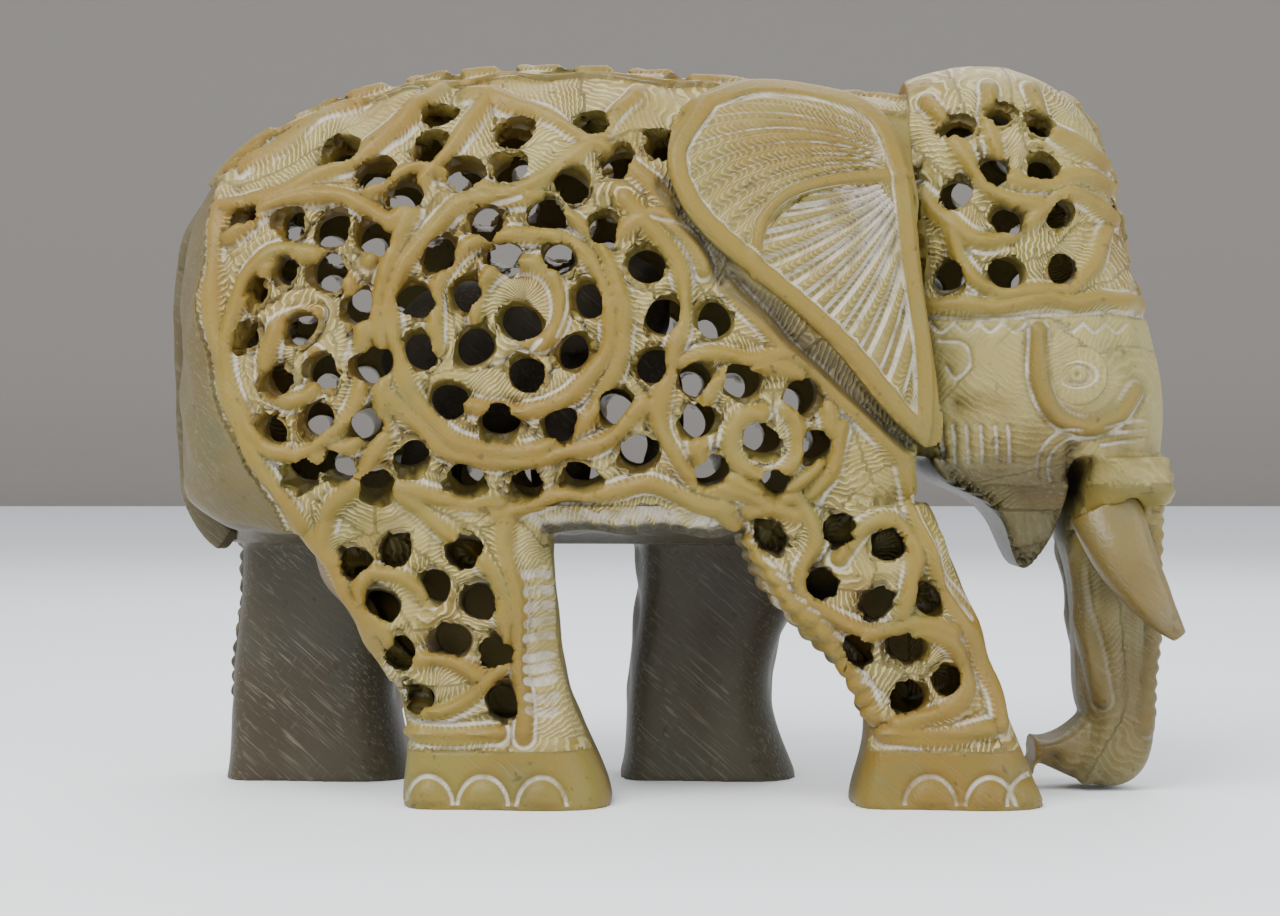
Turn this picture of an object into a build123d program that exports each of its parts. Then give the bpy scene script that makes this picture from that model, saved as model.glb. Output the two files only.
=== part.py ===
"""Undercut stone elephant: a pierced, hollow figure with a loose calf carved inside it.

Frame: +X towards the trunk, +Y to the elephant's left, +Z up, millimetres.
The origin is under the middle of the figure, on the surface that it stands on.
The figure is one carved block, divided here at its carved boundaries, where the
pieces meet face to face. Only the calf is loose.
"""

import os
from math import cos, pi, sin

from build123d import *

# Driving sizes
WALL = 7.0  # thickness of the pierced wall
HOLE_R = 3.7  # drill used on the flanks
RUMP_HOLE_R = 3.2  # towards the tail, where the wall curves away
LEG_HOLE_R = 3.5
HEAD_HOLE_R = 3.3
SLIP = 0.3  # clearance under and around the loose calf
FLOOR_Z = 62.0  # inside floor of the hollow body
BELLY_Z = 53.0  # underside of the belly, and top of the legs
FOOT_Z = 12.0  # height of the toe blocks
NECK_X = 50.0  # where the head meets the body
BROW_Z = 101.0  # underside of the band across the brow
BROW_H = 4.0
CHIN_Z = 72.0  # underside of the face
BACK_HALF = 20.0  # half width of the panel along the back
RUMP_X = -92.0  # front of the rump panel
FAR = 400.0  # larger than the figure, for cutting boxes

# Body sections: x, underside, top, half width
BODY = [
    (-103.5, 66, 118, 20),
    (-92, 54, 138, 36),
    (-60, 52, 152.5, 41),
    (-10, 52, 155.4, 41.5),
    (28, 52, 151.4, 39),
    (62, 55, 150, 29),
]
BODY_POWERS = (5.0, 2.4)  # squareness of the lower and upper halves of a section
# Head sections, from the chin up: z, rear x, front x, half width
HEAD = [
    (66, 47, 106, 23),
    (80, 42, 106, 29),
    (105, 40, 101, 30.5),
    (132, 41, 95, 28),
    (145, 42.5, 89.7, 23),
    (152, 48.5, 82, 15.5),
    (156.2, 61, 73.5, 6),
]
# Legs: z, rear x, front x, for each leg, from the sole up
FORE_NEAR = [(0, 37, 77), (9, 39, 73.5), (20, 39.5, 69), (36, 27, 63), (54, 14.5, 57), (66, 8, 50)]
FORE_FAR = [(0, -11.5, 28.5), (9, -10, 25), (20, -9.5, 22.8), (36, -7.5, 27), (54, -7.5, 36), (66, -6, 42)]
HIND_NEAR = [(0, -56, -12.5), (9, -55.5, -15), (20, -56, -20), (36, -65, -24), (54, -76, -25), (66, -80, -25)]
HIND_FAR = [(0, -100, -58), (9, -99, -60), (20, -98.5, -61.5), (36, -97, -59), (54, -96, -51), (66, -94, -46)]
# Trunk, hanging: z, rear x, front x, half width; then along the ground: x, underside, top, half width
TRUNK_DOWN = [
    (CHIN_Z, 84.4, 106, 26),
    (62, 84.6, 105.8, 22),
    (51, 85, 105.6, 13.5),
    (32, 87.2, 105.4, 10.8),
    (19, 88, 105.2, 10),
]
TRUNK_TIP = [(86.5, 2.6, 14, 9.2), (78.3, 2.0, 11.8, 7.6)]
LEG_Y = {0: (9.5, 38.5), 9: (10, 37.5), 20: (10, 36.5), 36: (9.5, 37), 54: (8, 37.5), 66: (7, 37.5)}

# Strings of drilled holes on a flank: first, middle and last centre (x, z), and how many
FLANK_STRINGS = [
    ((-53.5, 70.8), (-30.8, 65.6), (-7.2, 72.4), 5),  # under the great medallion
    ((-67.5, 135), (-60.8, 130.3), (-54.5, 126.4), 3),
    ((-49.5, 136.4), (-44.8, 130.6), (-33.2, 131.9), 3),
    ((-48.4, 143), (-39.5, 140), (-16.3, 141.3), 3),
    ((-20.8, 128.2), (-11.1, 132.8), (-1.3, 136.4), 3),
    ((-87.7, 121.4), (-77.9, 119.8), (-60.2, 116.3), 4),
    ((4.6, 87.8), (5.5, 94), (8.4, 99.8), 2),
    ((-60.5, 66.0), (-64, 65), (-68, 69.5), 2),
]
# Holes of the rump medallion, on a flank
RUMP_HOLES = [
    (-80.5, 87.5), (-71, 89), (-76, 98), (-63.5, 102.5), (-61, 91), (-62, 79), (-72, 79), (-81.5, 78),
    (-75.5, 68.5), (-85, 105.5), (-79, 110.5), (-70, 109.5), (-87.5, 96),
]
# Rings of drilled holes on a flank: centre (x, z), half axes, how many, first angle in degrees
FLANK_RINGS = [
    ((-30.8, 99.2), (0, 0), 1, 0),
    ((-29.4, 101.3), (12.8, 12.2), 7, 10),
    ((-27.4, 99.6), (25.4, 22), 13, 3),
    ((17.8, 75.4), (0, 0), 1, 0),
    ((17.0, 76.6), (12.6, 11), 6, -15),
]
LEG_STRINGS = {
    "foreleg_right": [
        ((20.4, 55.7), (28, 57), (34.5, 57.0), 2),
        ((30.8, 45.8), (36, 43.2), (41.8, 42.2), 2),
        ((44.5, 54.0), (49.5, 48), (52.3, 43.1), 2),
        ((37.9, 33.0), (43, 32.4), (48.3, 33.0), 2),
        ((48.5, 22.2), (52, 23.5), (56.6, 27.0), 2),
    ],
    "hindleg_right": [
        ((-65.5, 50.0), (-58, 38), (-52.4, 22.6), 4),
        ((-56.4, 53.5), (-49.5, 47), (-45.0, 34.5), 3),
        ((-42.5, 52.5), (-38.5, 40), (-34.6, 21.6), 4),
    ],
    "foreleg_left": [
        ((-0.5, 55.0), (8, 56.5), (16.5, 55.5), 3),
        ((3.5, 44.5), (11, 45.5), (19.5, 44.5), 3),
        ((-1.5, 33.0), (6.5, 34), (15.5, 33.0), 3),
        ((1.0, 22.0), (6, 22.4), (12.5, 22.0), 2),
    ],
    "hindleg_left": [
        ((-88.5, 53.0), (-87.5, 38), (-89.5, 22.5), 4),
        ((-77.5, 49.0), (-77, 37), (-78.5, 24.5), 3),
        ((-66.0, 53.0), (-67, 38), (-69.5, 22.5), 4),
    ],
}
HEAD_STRINGS = [
    ((57.6, 109.4), (69.0, 109.9), (80.6, 110.6), 3),
    ((69.4, 121.0), (74, 121.7), (80, 122.0), 2),
    ((59.0, 126.2), (66.6, 131.8), (77.0, 131.8), 3),
    ((59.7, 141.0), (68.0, 144.2), (77.0, 141.5), 3),
]
# Holes along the back: x of each cross row, and the row's holes across
BACK_ROWS = [(-84, 2), (-72, 3), (-60, 2), (-48, 3), (-36, 2), (-24, 3), (-12, 2), (0, 3)]
BACK_PITCH = 12.5

EAR_OUTLINE = [
    (6, 147), (17, 151.2), (30, 150.2), (42, 145.5), (48, 133), (50.5, 112), (53.5, 90),
    (52.5, 74), (46, 78.5), (32, 94.5), (14, 110), (2.5, 121.5), (-1.2, 134),
]
EAR_PROUD = 3.8  # how far an ear stands out of the neck and shoulder
EAR_SUNK = 0.8  # how far its inner face lies below their surface
JAW_OUTLINE = [(54, CHIN_Z), (58, 66.5), (65.5, 62.8), (70, 58.4), (72.4, 52.5), (75.6, 48),
               (78.4, 50.6), (81.4, 57), (83, 64), (83.6, CHIN_Z)]
JAW_SLOPE = [(-25.5, CHIN_Z), (25.5, CHIN_Z), (9, 47), (-9, 47)]  # seen from the front
EYE_AT = (83.5, 89.0)
EYE_R = 5.5


def ring_of_points(half_a, half_b, power_low, power_high, seam):
    """Eight points of a superellipse, whose lower half may be squarer than its upper half."""
    points = []
    for i in range(8):
        c, s = cos(pi * (seam + i) / 4), sin(pi * (seam + i) / 4)
        power = power_high if s >= 0 else power_low
        a = half_a * (abs(c) ** (2 / power)) * (1 if c >= 0 else -1)
        b = half_b * (abs(s) ** (2 / power)) * (1 if s >= 0 else -1)
        points.append((a, b))
    return points


def section(plane, half_a, half_b, power_low=2.6, power_high=2.6, seam=-2):
    """A closed smooth face on the plane; all sections share their knots, which keeps lofts light."""
    points = [Vector(a, b) for a, b in ring_of_points(half_a, half_b, power_low, power_high, seam)]
    knots = [i / len(points) for i in range(len(points) + 1)]
    return plane * make_face(Edge.make_spline(points, periodic=True, parameters=knots))


def barrel(grow):
    """The body's outside, its hollow when grow is negative, or an ear's face when it is positive."""
    faces = []
    for x, low, high, half in BODY:
        end = grow if x == BODY[0][0] else 0
        plane = Plane(origin=(x - end, 0, (low + high) / 2), x_dir=(0, 1, 0), z_dir=(1, 0, 0))
        faces.append(section(plane, half + grow, (high - low) / 2 + grow, *BODY_POWERS))
    return loft(faces)


def skull(grow):
    """The head's outside, or the hollow of the crown when grow is negative."""
    faces = []
    for z, rear, front, half in HEAD[:-2] if grow < 0 else HEAD:
        plane = Plane(origin=((rear + front) / 2, 0, z))
        faces.append(section(plane, (front - rear) / 2 + grow, half + grow, seam=4))
    return loft(faces)


def leg(stations, side, grow=0.0):
    """One leg from the sole into the body; a negative grow gives the room for its hollow."""
    faces = []
    for z, rear, front in stations:
        inner, outer = LEG_Y[z]
        plane = Plane(origin=((rear + front) / 2, side * (inner + outer) / 2, z))
        faces.append(section(plane, (front - rear) / 2 + grow, (outer - inner) / 2 + grow, 4, 4))
    return loft(faces)


def box_between(x=(-FAR, FAR), y=(-FAR, FAR), z=(-FAR, FAR)):
    """A box from its three ranges."""
    size = (x[1] - x[0], y[1] - y[0], z[1] - z[0])
    middle = ((x[0] + x[1]) / 2, (y[0] + y[1]) / 2, (z[0] + z[1]) / 2)
    return Pos(*middle) * Box(*size)


def between(value, pairs):
    """Straight-line interpolation in a list of (position, value)."""
    for (x0, v0), (x1, v1) in zip(pairs, pairs[1:]):
        if value <= x1:
            share = max(0.0, (value - x0) / (x1 - x0))
            return v0 + share * (v1 - v0)
    return pairs[-1][1]


def flank_half_width(x, z):
    """How far the flank's surface stands from the middle plane at a point seen from the side."""
    low = between(x, [(s[0], s[1]) for s in BODY])
    high = between(x, [(s[0], s[2]) for s in BODY])
    half = between(x, [(s[0], s[3]) for s in BODY])
    share = (z - (low + high) / 2) / ((high - low) / 2)
    power = BODY_POWERS[1] if share > 0 else BODY_POWERS[0]
    return half * (1 - min(0.97, abs(share)) ** power) ** (1 / power)


def head_half_width(x, z):
    """The same for the head."""
    rear = between(z, [(s[0], s[1]) for s in HEAD])
    front = between(z, [(s[0], s[2]) for s in HEAD])
    half = between(z, [(s[0], s[3]) for s in HEAD])
    share = (x - (rear + front) / 2) / ((front - rear) / 2)
    return half * (1 - min(0.97, abs(share)) ** 2.6) ** (1 / 2.6)


def string_centres(strings):
    """Evenly spaced centres along each three-point arc."""
    centres = []
    for first, middle, last, count in strings:
        path = ThreePointArc(first, middle, last)
        centres += [tuple(path @ (i / (count - 1)))[:2] for i in range(count)]
    return centres


def ring_centres(rings):
    """Evenly spaced centres round each ellipse."""
    centres = []
    for (x, z), (a, b), count, start in rings:
        for i in range(count):
            angle = (start + 360 * i / count) * pi / 180
            centres.append((x + a * cos(angle), z + b * sin(angle)))
    return centres


def drill(surface, target, radius, reach_in):
    """A cylinder through a surface point, aimed at a target inside."""
    aim = (Vector(*target) - Vector(*surface)).normalized()
    start = Vector(*surface) - aim * 12
    plane = Plane(origin=start, z_dir=aim)
    return plane * Cylinder(radius, 12 + reach_in, align=(Align.CENTER, Align.CENTER, Align.MIN))


def flank_drills(side):
    """Holes of one flank, each square to the curved wall."""
    tools = []
    for x, z in ring_centres(FLANK_RINGS) + string_centres(FLANK_STRINGS) + RUMP_HOLES:
        y = flank_half_width(x, z)
        target = (min(max(x, -62), 30), 0, min(max(z, 84), 116))
        tools.append(drill((x, side * y, z), target, HOLE_R if x > -78 else RUMP_HOLE_R, 13))
    return tools


def head_drills(side):
    """Holes of one side of the crown."""
    tools = []
    for x, z in string_centres(HEAD_STRINGS):
        y = head_half_width(x, z)
        target = (min(max(x, 62), 80), 0, min(max(z, 112), 128))
        tools.append(drill((x, side * y, z), target, HEAD_HOLE_R, 12))
    return tools


def forehead_drills():
    """Holes up the front of the crown."""
    tools = []
    for z, count in [(112, 2), (124, 3), (136, 2)]:
        front = between(z, [(s[0], s[2]) for s in HEAD])
        for i in range(count):
            y = (i - (count - 1) / 2) * 12
            tools.append(drill((front - 0.012 * y * y, y, z), (72, 0.5 * y, z - 3), HEAD_HOLE_R, 12))
    return tools


def back_drills():
    """Rows of holes across the panel along the back."""
    tools = []
    for x, count in BACK_ROWS:
        top = between(x, [(s[0], s[2]) for s in BODY])
        for i in range(count):
            y = (i - (count - 1) / 2) * BACK_PITCH
            tools.append(drill((x, y, top - 0.008 * y * y), (x * 0.93, 0.6 * y, 100), HOLE_R, 12))
    return tools


def leg_drills(name, side):
    """Holes through a leg's outer face."""
    return [
        Pos(x, side * 36, z) * Rot(90, 0, 0) * Cylinder(LEG_HOLE_R, 20)
        for x, z in string_centres(LEG_STRINGS[name])
    ]


def make_trunk():
    """The trunk hangs from the wide tusk sockets, then turns back towards the right forefoot."""
    faces = [
        section(Plane(origin=((rear + front) / 2, 0, z), z_dir=(0, 0, -1)), (front - rear) / 2, half, 3, 3)
        for z, rear, front, half in TRUNK_DOWN
    ]
    elbow = Plane(origin=(95.4, 0, 10.4), x_dir=(1, 0, -1), z_dir=(-1, 0, -1))
    faces.append(section(elbow, 9.0, 9.8, 3, 3))
    for x, low, high, half in TRUNK_TIP:
        tip = Plane(origin=(x, 0, (low + high) / 2), x_dir=(0, 0, -1), z_dir=(-1, 0, 0))
        faces.append(section(tip, (high - low) / 2, half, 3, 3))
    return loft(faces)


def make_tusk(side):
    """A curved tusk that leaves its socket forwards and down."""
    faces = [
        section(Plane(origin=(91.5, side * 17, 61), z_dir=(0.42, side * 0.3, -1)), 7.6, 5.6),
        section(Plane(origin=(95.5, side * 21.5, 50), z_dir=(0.48, side * 0.3, -1)), 6.4, 5.4),
        section(Plane(origin=(100.5, side * 24.6, 41), z_dir=(0.6, side * 0.25, -1)), 4.2, 4.0),
        section(Plane(origin=(105.6, side * 26, 34.5), z_dir=(0.7, side * 0.1, -1)), 1.6, 1.6),
    ]
    return loft(faces)


def make_ear(side):
    """A fan-shaped ear that follows the neck and shoulder and stands proud of them."""
    outline = make_face(Spline(*EAR_OUTLINE, periodic=True))
    plane = Plane(origin=(0, 0, 0), x_dir=(1, 0, 0), z_dir=(0, -1, 0))
    slab = extrude(plane * outline, 60 if side < 0 else -60)
    return (slab & barrel(EAR_PROUD)) - barrel(-EAR_SUNK)


def make_tail():
    """The tail hangs down the rump and turns in above the left heel."""
    outer = Spline((-100, 128), (-105.9, 117), (-107.4, 100), (-106.6, 76), (-104.2, 60), (-97.5, 51.6))
    inner = Spline((-94.5, 56), (-98.5, 66), (-101, 80), (-101.5, 100), (-100.5, 114), (-97, 124))
    joins = [Line((-97.5, 51.6), (-94.5, 56)), Line((-97, 124), (-100, 128))]
    plane = Plane(origin=(0, 7, 0), x_dir=(1, 0, 0), z_dir=(0, -1, 0))
    return extrude(plane * make_face([outer, inner, *joins]), 14)


def make_calf():
    """The calf that stands loose inside, carved through the holes."""
    floor = FLOOR_Z + SLIP
    rump, brow = -63.0, -14.0
    half = Ellipse((brow - rump) / 2, 17) & (Pos(0, 20) * Rectangle(200, 40))
    trunk_path = [(-6.5, 96, 6), (-2.5, 86, 5), (-1.5, 76, 4), (-3.5, 67, 3.4)]
    body = Pos((rump + brow) / 2, 0, 94) * Rot(90, 0, 0) * revolve(half, Axis.X)
    figure = body + Pos(-13, 0, 104) * Sphere(13)
    trunk = loft([section(Plane(origin=(x, 0, z), z_dir=(0.15, 0, -1)), r, r) for x, z, r in trunk_path])
    figure += trunk
    stand = (Align.CENTER, Align.CENTER, Align.MIN)
    for x in (-52, -24):
        for side in (-1, 1):
            figure += Pos(x, side * 7.6, floor) * Cone(6.4, 5.6, 30, align=stand)
    for side in (-1, 1):
        figure += Pos(-20, side * 13.5, 103) * Rot(90, 0, 0) * Cylinder(9, 3)
    return figure


def write(name, shape):
    """Saves one sub-part as parts/NAME.step."""
    solids = shape.solids()
    kept = [s for s in solids if s.volume > 1.0]
    export_step(kept[0] if len(kept) == 1 else Compound(kept), f"parts/{name}.step")
    print(name, len(kept), round(sum(s.volume for s in kept) / 1000, 2), "cm3")


LEGS = {
    "foreleg_right": (FORE_NEAR, -1),
    "foreleg_left": (FORE_FAR, 1),
    "hindleg_right": (HIND_NEAR, -1),
    "hindleg_left": (HIND_FAR, 1),
}


def side_of(side):
    """The range of y on one side of the panel along the back."""
    return (-FAR, -BACK_HALF) if side < 0 else (BACK_HALF, FAR)


def write_body(ears, tail):
    """The pierced wall of the body, above the floor of its hollow."""
    room = barrel(-WALL) & box_between(x=(-FAR, NECK_X - WALL), z=(FLOOR_Z, FAR))
    shell = (barrel(0) & box_between(x=(-FAR, NECK_X), z=(FLOOR_Z, FAR))) - room
    length = (RUMP_X, NECK_X - WALL)
    for side, word in ((-1, "right"), (1, "left")):
        flank = shell & box_between(x=length, y=side_of(side), z=(FLOOR_Z, FAR))
        write(f"flank_{word}", flank - flank_drills(side) - ears[side])
    back = shell & box_between(x=length, y=(-BACK_HALF, BACK_HALF), z=(110, FAR))
    write("back_panel", back - back_drills() - ears[-1] - ears[1])
    write("chest", (shell & box_between(x=(NECK_X - WALL, FAR))) - ears[-1] - ears[1])
    write("rump", (shell & box_between(x=(-FAR, RUMP_X))) - tail)
    write("tail", tail)


def write_underside():
    """The belly with the tops of the legs, then each leg and foot."""
    deck = barrel(0) & box_between(x=(-FAR, NECK_X), z=(BELLY_Z, FLOOR_Z))
    drills = []
    for name, (stations, side) in LEGS.items():
        whole = leg(stations, side)
        own = leg_drills(name, side)
        drills += own
        room = leg(stations, side, -6.5) & box_between(z=(18, BELLY_Z - 4))
        deck += whole & box_between(z=(BELLY_Z, FLOOR_Z))
        write(name, (whole & box_between(z=(FOOT_Z, BELLY_Z))) - room - own)
        write(name.replace("leg", "foot"), whole & box_between(z=(-FAR, FOOT_Z)))
    write("belly", deck - drills - make_tail())


def write_head(ears):
    """The head in bands: crown, brow, and face with its eyes."""
    head = skull(0) & box_between(x=(NECK_X, FAR), z=(CHIN_Z, FAR))
    room = skull(-WALL) & box_between(x=(NECK_X + 5, FAR), z=(BROW_Z + BROW_H + 2, FAR))
    crown = (head & box_between(z=(BROW_Z + BROW_H, FAR))) - room
    write("crown", crown - head_drills(-1) - head_drills(1) - forehead_drills() - ears[-1] - ears[1])
    band = head & box_between(z=(BROW_Z, BROW_Z + BROW_H))
    write("brow_band", band - ears[-1] - ears[1])
    face = (head & box_between(z=(-FAR, BROW_Z))) - ears[-1] - ears[1]
    for side, word in ((-1, "right"), (1, "left")):
        place = Pos(EYE_AT[0], side * (head_half_width(*EYE_AT) - 1.5), EYE_AT[1])
        eye = place * Rot(90, 0, 0) * Cylinder(EYE_R, 5)
        write(f"eye_{word}", eye)
        face -= eye
        write(f"ear_{word}", ears[side])
    write("face", face)


def write_muzzle():
    """The trunk, the tusks set in it and the lower jaw."""
    trunk = make_trunk()
    for side, word in ((-1, "right"), (1, "left")):
        tusk = make_tusk(side)
        trunk -= tusk
        write(f"tusk_{word}", tusk)
    write("trunk", trunk)
    plane = Plane(origin=(0, 26, 0), x_dir=(1, 0, 0), z_dir=(0, -1, 0))
    outline = make_face([Spline(*JAW_OUTLINE), Line(JAW_OUTLINE[-1], JAW_OUTLINE[0])])
    slope = extrude(Plane.YZ * make_face(Polyline(*JAW_SLOPE, close=True)), FAR)
    write("jaw", extrude(plane * outline, 52) & slope)


def main():
    """Makes every piece of the figure."""
    os.makedirs("parts", exist_ok=True)
    ears = {side: make_ear(side) for side in (-1, 1)}
    write_underside()
    write_body(ears, make_tail())
    write_head(ears)
    write_muzzle()
    write("calf", make_calf())


main()
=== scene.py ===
# Undercut stone elephant, carved over the fixed model: relief, chalked cuts, flutes, then a studio.
import math
import bpy
import numpy as np
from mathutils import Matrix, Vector, kdtree
from mathutils.bvhtree import BVHTree


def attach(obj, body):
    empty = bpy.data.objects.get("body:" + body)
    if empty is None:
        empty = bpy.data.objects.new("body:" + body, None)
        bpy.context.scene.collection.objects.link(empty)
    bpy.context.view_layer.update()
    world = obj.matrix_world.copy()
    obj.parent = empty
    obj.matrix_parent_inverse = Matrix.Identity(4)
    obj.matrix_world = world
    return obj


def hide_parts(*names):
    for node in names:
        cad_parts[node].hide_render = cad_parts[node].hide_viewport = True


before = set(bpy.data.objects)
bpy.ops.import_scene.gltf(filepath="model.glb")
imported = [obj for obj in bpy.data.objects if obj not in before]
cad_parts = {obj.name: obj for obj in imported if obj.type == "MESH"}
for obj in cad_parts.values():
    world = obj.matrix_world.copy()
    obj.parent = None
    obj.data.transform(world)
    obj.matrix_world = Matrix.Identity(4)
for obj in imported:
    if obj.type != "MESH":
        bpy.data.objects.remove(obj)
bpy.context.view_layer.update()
bpy.context.scene.name = "stoneElephant"


def selectOnly(*objects):
    bpy.ops.object.select_all(action="DESELECT")
    for thing in objects:
        thing.select_set(True)
    bpy.context.view_layer.objects.active = objects[0]


def copyNodes(names, label):
    # one loose mesh with the shape of these nodes, merged so that it is closed
    copies = []
    for name in names:
        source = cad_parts[name]
        twin = bpy.data.objects.new(label, source.data.copy())
        twin.data.materials.clear()
        bpy.context.scene.collection.objects.link(twin)
        copies.append(twin)
    selectOnly(*copies)
    if len(copies) > 1:
        bpy.ops.object.join()
    piece = bpy.context.view_layer.objects.active
    piece.name = label
    piece.data.name = label
    bpy.ops.object.mode_set(mode="EDIT")
    bpy.ops.mesh.select_all(action="SELECT")
    bpy.ops.mesh.remove_doubles(threshold=0.00001)
    bpy.ops.object.mode_set(mode="OBJECT")
    return piece


def applyModifier(piece, kind, **values):
    selectOnly(piece)
    modifier = piece.modifiers.new(kind.lower(), kind)
    for key, value in values.items():
        setattr(modifier, key, value)
    bpy.ops.object.modifier_apply(modifier=modifier.name)


def carveReady(piece, voxel, smoothing=3):
    # even quads all over, so that relief can be pushed into them
    applyModifier(piece, "REMESH", mode="VOXEL", voxel_size=voxel * 0.001, adaptivity=0.0)
    applyModifier(piece, "SMOOTH", factor=0.5, iterations=smoothing)


def readMm(piece):
    count = len(piece.data.vertices)
    flat = np.empty(count * 3, dtype=np.float64)
    piece.data.vertices.foreach_get("co", flat)
    normals = np.empty(count * 3, dtype=np.float64)
    piece.data.vertices.foreach_get("normal", normals)
    return flat.reshape(-1, 3) * 1000.0, normals.reshape(-1, 3)


def writeMm(piece, points):
    piece.data.vertices.foreach_set("co", (points * 0.001).ravel())
    piece.data.update()


def setAttribute(piece, name, values):
    layer = piece.data.attributes.get(name) or piece.data.attributes.new(name, "FLOAT", "POINT")
    layer.data.foreach_set("value", np.ascontiguousarray(values, dtype=np.float32))


def ramp(low, high, value):
    share = np.clip((value - low) / (high - low), 0.0, 1.0)
    return share * share * (3.0 - 2.0 * share)


def wobble(points, size, seed):
    # smooth seeded unevenness between -1 and 1
    maker = np.random.default_rng(seed)
    total = np.zeros(len(points))
    for turn in range(5):
        direction = maker.normal(size=3)
        direction /= np.linalg.norm(direction)
        phase = maker.uniform(0, 6.283)
        total += np.sin(points @ direction * 6.283 / (size * maker.uniform(0.7, 1.6)) + phase)
    return total / 3.2


# carved lines are drawn in side view, (x, z) in millimetres
def smoothPath(points, step=0.4):
    # an even run of points along a smooth curve through the given ones
    pts = np.array(points, dtype=float)
    pts = np.vstack([2 * pts[0] - pts[1], pts, 2 * pts[-1] - pts[-2]])
    run = []
    for i in range(1, len(pts) - 2):
        p0, p1, p2, p3 = pts[i - 1:i + 3]
        count = max(2, int(np.linalg.norm(p2 - p1) / step))
        for t in np.arange(count) / count:
            run.append(0.5 * (2 * p1 + (p2 - p0) * t + (2 * p0 - 5 * p1 + 4 * p2 - p3) * t * t
                              + (3 * p1 - p0 - 3 * p2 + p3) * t ** 3))
    run.append(pts[-2])
    return np.array(run)


def ovalPath(centre, rx, rz, start=0.0, sweep=360.0, grow=0.0):
    # part of an oval or, with grow, of a spiral; angles in degrees
    angles = np.radians(start + np.linspace(0, sweep, max(8, int(abs(sweep) / 9))))
    scale = 1.0 + grow * np.linspace(0, 1, len(angles))
    return [(centre[0] + rx * s * math.cos(a), centre[1] + rz * s * math.sin(a))
            for a, s in zip(angles, scale)]


flankLines = {
    "ribs": [
        ovalPath((-33.7, 99.0), 23.6, 26.2, 95, 365),  # great medallion
        ovalPath((-32.0, 100.2), 17.2, 16.3, 200, -330, 0.22),  # its inner turn
        ovalPath((-29.5, 101.5), 4.0, 5.0, 250, 300, 1.6),  # the curl at its heart
        [(-53.8, 122), (-58.6, 109), (-59.4, 93), (-58.8, 80.4), (-62, 70), (-69.6, 60.5)],
        [(-9.6, 124.3), (-0.8, 113.5), (2.2, 102.8), (0.2, 93.3), (-2.8, 83), (-1.2, 75), (6.5, 66.5),
         (17.4, 62.5)],
        [(-62, 112), (-54, 124), (-44, 137), (-38, 147)],
        [(-62, 126), (-52, 131.5), (-42, 127.5), (-30, 126.5), (-20, 134), (-8, 147)],
        [(-43, 148), (-30, 144), (-16, 136.5), (-6, 129.5), (-1, 124)],
        [(-94, 124), (-85.5, 125), (-74, 129.2), (-64, 134.4), (-54, 143), (-48, 150)],
        [(-91, 117), (-80, 125), (-68, 124.5), (-57, 120)],
        ovalPath((-77, 93.5), 14.6, 21, 70, 330),  # rump medallion
        ovalPath((-76, 90.5), 8.6, 10.2, 75, 300, -0.55),
        [(-88, 104), (-80, 112.4), (-71, 112), (-63.5, 104), (-61.5, 97)],
        [(-84, 75.5), (-74, 71), (-66, 73.5), (-60.5, 79)],
        [(-93.6, 124), (-94.6, 106), (-92.4, 90), (-88, 77), (-80, 63)],
        ovalPath((18.5, 77.4), 13.6, 12.9, 60, 320),  # shoulder medallion
        ovalPath((17.8, 75.4), 5.6, 5.8, 90, 320, 0.5),
        [(2, 91), (8, 92.5), (16, 91.5), (25, 93)],
        [(12, 107), (17, 100.5), (24.5, 93), (36.5, 82), (47, 72)],
        [(34, 78), (33, 70), (29, 64)],
        [(-57.6, 84), (-50, 75.5), (-40, 71.5), (-28, 71.5), (-14, 75.5), (-6, 82)],
        [(-58, 66), (-46, 63.5), (-36, 62.5)],
        [(-90, 132), (-82, 137), (-74, 143), (-66, 148)],
        [(-12, 117), (-4, 121.5), (2, 117.5), (6, 110)],
    ],
    "cuts": [
        [(-0.5, 125), (12, 109), (24, 96.6), (36, 85.2), (47.7, 75.5)],
        [(-5, 121), (3, 118), (9.5, 108)],
        [(-40, 119), (-37, 123.4), (-31, 124.6)], [(-44, 93), (-41, 98), (-43, 104)],
        [(-24, 97), (-21.5, 104), (-24, 110.6)], [(-26, 88.5), (-20, 93), (-18, 99)],
        [(-37, 90.5), (-31, 92.6), (-27, 96.4)], [(-84, 121.5), (-79, 123.4), (-70, 123)],
        [(-66, 92), (-65, 98), (-68, 104)], [(-86, 92), (-87.4, 98), (-84, 105)],
    ],
}
bellyLines = {
    "ribs": [[(-36, 60.5), (-23, 63.9), (-10.9, 65.6), (0, 65), (8, 61.5)]],
    "notches": [[(x, 60.6 - 0.004 * (x + 10) ** 2), (x + 2.6, 59.4 - 0.004 * (x + 10) ** 2), (x + 5.4, 56.2)]
             for x in np.arange(-29, 6, 3.7)],
}
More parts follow.
